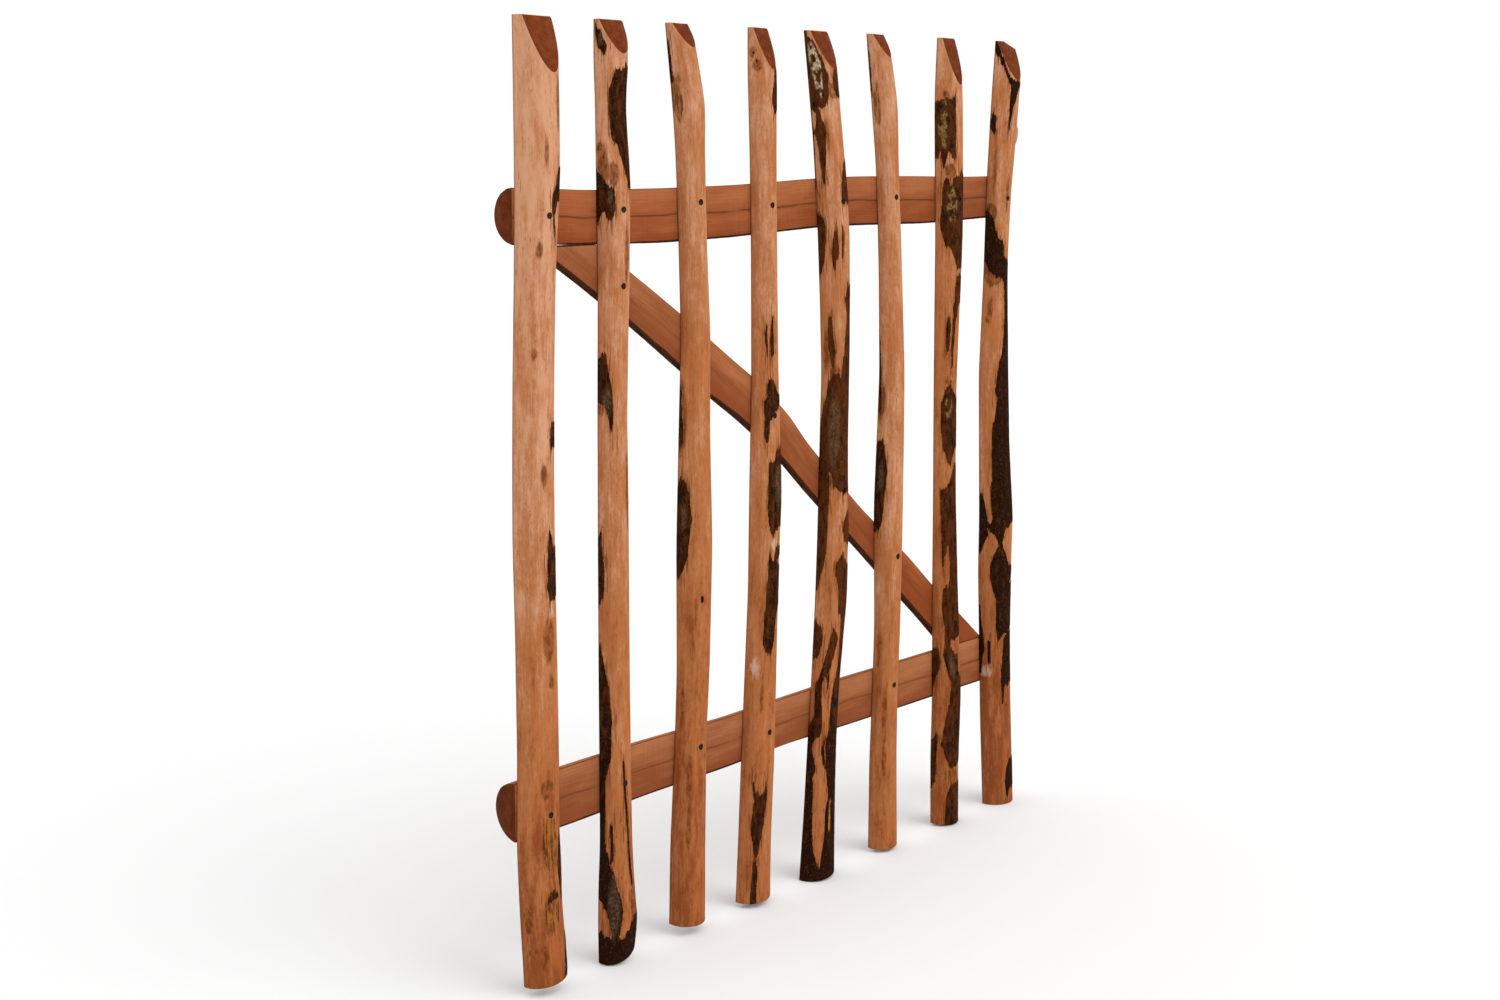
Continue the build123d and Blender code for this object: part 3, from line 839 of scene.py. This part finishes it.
def wood_beside_bark(s, pole, wood, grains, depth):
    """The wood with shreds near a patch of bark, and the inner bark along the patch's edge."""
    nearby = s.between(s.attribute("bark"), -11, -0.5, 0, 0.17)
    shreds = s.grain(pole, 0.06, 2.2, 3, 0.6)
    wood = s.mix(s.between(s.add(shreds, nearby), 0.67, 0.74, 0, 0.75), wood, (0.14, 0.040, 0.011))
    inner = s.mix(s.between(grains.blotch, 0.45, 0.6), (0.15, 0.040, 0.011), (0.36, 0.13, 0.028))
    return s.mix(s.between(depth, -1.3, 0.0, 0, 0.85), wood, inner)


def bark_colour(s, pole, grains):
    """Colour of the bark, with its pores, weathered grey, lichen and moss."""
    mottle, crust = grains.mottle, grains.crust
    shade = s.add(mottle, s.swing(s.attribute("bark_tone"), 0.35))
    bark = s.mix(s.between(shade, 0.34, 0.66), (0.016, 0.0047, 0.0016), (0.078, 0.0200, 0.0042))
    bark = s.mix(s.between(crust, 0.52, 0.70, 0, 0.3), bark, (0.11, 0.042, 0.017))
    pores = s.noise(s.stretched(pole, (0.45, 0.45, 1)), 1.5, 1, 0.5)
    bark = s.mix(s.between(pores, 0.66, 0.74, 0, 0.45), bark, (0.16, 0.090, 0.052))
    weathered = s.times(s.between(s.attribute("grey"), -1.5, 3.0), s.between(crust, 0.30, 0.70))
    grey = s.mix(mottle, (0.070, 0.040, 0.019), (0.22, 0.150, 0.082))
    bark = s.mix(s.times(weathered, 0.6), bark, grey)
    spots = s.between(s.grain(pole, 0.7, 9, 3, 0.5), 0.44, 0.56)
    lichen = s.mix(s.between(crust, 0.35, 0.6), (0.13, 0.078, 0.030), (0.52, 0.43, 0.28))
    bark = s.mix(s.times(spots, s.between(s.attribute("lichen"), -1.0, 2.0)), bark, lichen)
    moss = s.mix(s.between(crust, 0.35, 0.65), (0.075, 0.042, 0.012), (0.28, 0.185, 0.062))
    return s.mix(s.times(spots, s.between(s.attribute("moss"), -1.0, 2.0, 0, 0.85)), bark, moss)


def peeled_wood():
    """Peeled pole with bark left on in patches."""
    s = Surface("peeled_wood", 0.62)
    pole = s.attribute("pole", vector=True)
    grains = pole_grains(s, pole)
    depth = s.add(s.attribute("bark"), grains.ragged)
    wood = marked_wood(s, bare_wood(s, pole, grains), grains)
    wood = wood_beside_bark(s, pole, wood, grains, depth)
    cover = s.between(depth, -0.12, 0.22)
    colour = s.mix(cover, wood, bark_colour(s, pole, grains))
    wood_height = s.add(s.times(grains.streak, 0.5), s.times(grains.fine, 0.25))
    bark_height = s.add(s.times(grains.crust, 2.2), s.times(cover, 1.2))
    height = s.add(wood_height, s.times(bark_height, cover))
    return s.finish(colour, height, 0.35, s.between(cover, 0, 1, 0.6, 0.86))


def sawn_wood():
    """Flat sawn face along the heart of a pole, with its pith line and the bark at its edges, whose wider
    band along the lower edge of the rails and the brace is also painted shade.
    """
    s = Surface("sawn_wood", 0.72)
    pole = s.attribute("pole", vector=True)
    across = s.split(pole)[0]
    streak = s.grain(pole, 0.03, 2.0, 4, 0.6)
    broad = s.grain(pole, 0.22, 26, 3, 0.6)
    saw_lines = s.noise(s.stretched(pole, (0.02, 0.02, 1)), 2.6, 3, 0.6)
    # Painted shade: the tone rises across the face, so the rails and the brace are lighter at the upper edge
    # and darker at the lower one.
    tone = s.add(s.attribute("tone"), s.times(across, 10.0))
    tone = s.varied(tone, (streak, 0.55), (broad, 1.3), (saw_lines, 0.35))
    redness = s.attribute("redness")
    dark = s.mix(redness, (0.225, 0.062, 0.021), (0.230, 0.050, 0.0125))
    light = s.mix(redness, (0.40, 0.150, 0.062), (0.385, 0.120, 0.042))
    wood = s.mix(s.between(tone, -0.1, 0.9), dark, light)
    waver = s.swing(s.noise(s.stretched(pole, (0, 0, 1)), 90, 3, 0.5), 0.009)
    apart = s.math("ABSOLUTE", s.add(across, waver))
    rings = s.waves(s.add(apart, s.times(broad, 0.004)), 0.0042)
    wood = s.mix(s.between(rings, 0.1, 1.0, 0, 0.10), wood, (0.15, 0.042, 0.014))
    halo = s.times(s.between(apart, 7 * MM, 0.5 * MM, 0, 0.5), s.between(broad, 0.4, 0.65))
    wood = s.mix(halo, wood, (0.16, 0.046, 0.014))
    broken = s.between(s.grain(pole, 0.12, 6, 2, 0.5), 0.34, 0.52, 0.25, 1.0)
    pith = s.times(s.between(apart, 1.9 * MM, 0.5 * MM), s.times(broken, s.attribute("heart")))
    wood = s.mix(s.times(pith, 0.72), wood, (0.085, 0.024, 0.008))
    # Dark bark at the face's edges, which along the lower edge of the rails and the brace is also painted
    # shade.
    ragged = s.math("SUBTRACT", s.grain(pole, 0.2, 1.2, 3, 0.6), 0.5)
    depth = s.add(s.attribute("bark"), ragged)
    colour = s.mix(s.between(depth, -0.3, 0.5, 0, 0.95), wood, (0.026, 0.011, 0.006))
    height = s.add(s.times(saw_lines, 0.8), s.times(streak, 0.5))
    height = s.math("SUBTRACT", height, s.times(pith, 0.6))
    return s.finish(colour, height, 0.25)


def cut_wood():
    """End grain: dark and red, with rings round the heart."""
    s = Surface("cut_wood", 0.7)
    pole = s.attribute("pole", vector=True)
    flat = s.stretched(pole, (1, 1, 0))
    length = s.nodes.new("ShaderNodeVectorMath")
    length.operation = "LENGTH"
    s.links.new(flat, length.inputs[0])
    warp = s.times(s.noise(flat, 14, 3, 0.6), 0.006)
    rings = s.waves(s.add(length.outputs["Value"], warp), 0.0034)
    blotch = s.noise(pole, 13, 4, 0.6)
    fuzz = s.noise(pole, 1.6, 4, 0.65)
    shade = s.add(s.times(blotch, 0.5), s.times(fuzz, 0.3))
    # Low tone darkens a sawn end: on the rails this is painted shade on ends turned away from the light.
    shade = s.add(shade, s.times(s.attribute("tone"), 0.15))
    wood = s.mix(s.between(shade, 0.28, 0.80), (0.070, 0.014, 0.0035), (0.25, 0.055, 0.0125))
    wood = s.mix(s.between(rings, 0.0, 1.0, 0, 0.25), wood, (0.085, 0.018, 0.006))
    height = s.add(s.times(rings, 0.2), fuzz)
    return s.finish(wood, height, 0.3)


def hole_painted_shade():
    """Inside of a screw hole, painted near black as the shade deep inside it."""
    s = Surface("hole_painted_shade", 0.9)
    place = s.nodes.new("ShaderNodeTexCoord").outputs["Object"]
    speckle = s.noise(place, 1.2, 3)
    return s.finish(s.mix(speckle, (0.008, 0.005, 0.004), (0.03, 0.014, 0.008)), speckle, 0.2)


def dark_steel():
    """Blackened screw steel with a little rust in it."""
    s = Surface("dark_steel", 0.45, 0.5)
    s.shader.inputs["Metallic"].default_value = 0.5
    place = s.nodes.new("ShaderNodeTexCoord").outputs["Object"]
    speckle = s.noise(place, 1.4, 4, 0.6)
    colour = s.mix(s.between(speckle, 0.45, 0.7), (0.022, 0.015, 0.012), (0.06, 0.028, 0.015))
    return s.finish(colour, speckle, 0.08, s.between(speckle, 0.3, 0.7, 0.35, 0.7))


def plain(name, colour, roughness):
    s = Surface(name, roughness)
    s.shader.inputs["Base Color"].default_value = (*colour, 1)
    return s.material


PEELED, SAWN_WOOD, CUT_WOOD, HOLE_PAINTED_SHADE = peeled_wood(), sawn_wood(), cut_wood(), hole_painted_shade()
STEEL = dark_steel()


def make_pickets():
    for number in range(1, 9):
        name = f"picket_{number}"
        pole = Pole(name, (0, -1, 0), (0, 0, 1))
        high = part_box(name)[1]
        cuts = [sawn_face(name, -1), sawn_face(name, 1), ((0, 0, high.z), (0, 0, 1))]
        make_pole(pole, number, cuts)


def make_frame():
    for number, name in enumerate(("top_rail", "bottom_rail")):
        pole = Pole(name, (0, 1, 0), (1, 0, 0))
        low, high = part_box(name)
        make_pole(pole, 20 + number, [(low, (-1, 0, 0)), (high, (1, 0, 0))])
    low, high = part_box("brace")
    pole = Pole("brace", (0, 1, 0))
    make_pole(pole, 30, [(low, (0, 0, -1)), (high, (0, 0, 1))])


def make_screws():
    """Countersunk screws with a round recess, in place of each CAD group."""
    for group, places in SCREWS.items():
        mesh = bmesh.new()
        for place in places:
            lathe(mesh, place, SCREW_PROFILE)
        face_outward(mesh)
        data = bpy.data.meshes.new(group + "_steel")
        mesh.to_mesh(data)
        data.materials.append(STEEL)
        data.shade_smooth()
        data.set_sharp_from_angle(angle=radians(SHARP_SCREW))
        piece = place_object(group + "_steel", data)
        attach(piece, "root")
        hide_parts(group)


def make_camera():
    yaw, pitch = radians(CAMERA_YAW), radians(CAMERA_PITCH)
    view = Vector((sin(yaw) * cos(pitch), cos(yaw) * cos(pitch), sin(pitch)))
    data = bpy.data.cameras.new("camera")
    data.lens, data.sensor_width, data.shift_y = CAMERA_LENS, 36, CAMERA_SHIFT
    camera = place_object("camera", data)
    camera.location = CAMERA_PLACE
    camera.rotation_euler = view.to_track_quat("-Z", "Y").to_euler()
    bpy.context.scene.camera = camera


def make_studio():
    world = bpy.data.worlds.new("studio")
    world.use_nodes = True
    world.node_tree.nodes["Background"].inputs[0].default_value = (1, 1, 1, 1)
    world.node_tree.nodes["Background"].inputs[1].default_value = 1.0
    bpy.context.scene.world = world
    bpy.context.scene.view_settings.view_transform = "Standard"
    sun = bpy.data.lights.new("key", "SUN")
    sun.energy, sun.angle = 1.1, radians(50)
    light = place_object("key", sun)
    light.rotation_euler = Vector(SUN_RUN).to_track_quat("-Z", "Y").to_euler()
    floor = bpy.data.meshes.new("floor")
    reach = 30
    corners = [(-reach, -reach, 0), (reach, -reach, 0), (reach, reach, 0), (-reach, reach, 0)]
    floor.from_pydata(corners, [], [(0, 1, 2, 3)])
    floor.materials.append(plain("floor", (0.86, 0.86, 0.86), 0.8))
    stage = place_object("floor", floor)


make_camera()
make_studio()
make_pickets()
make_frame()
make_screws()
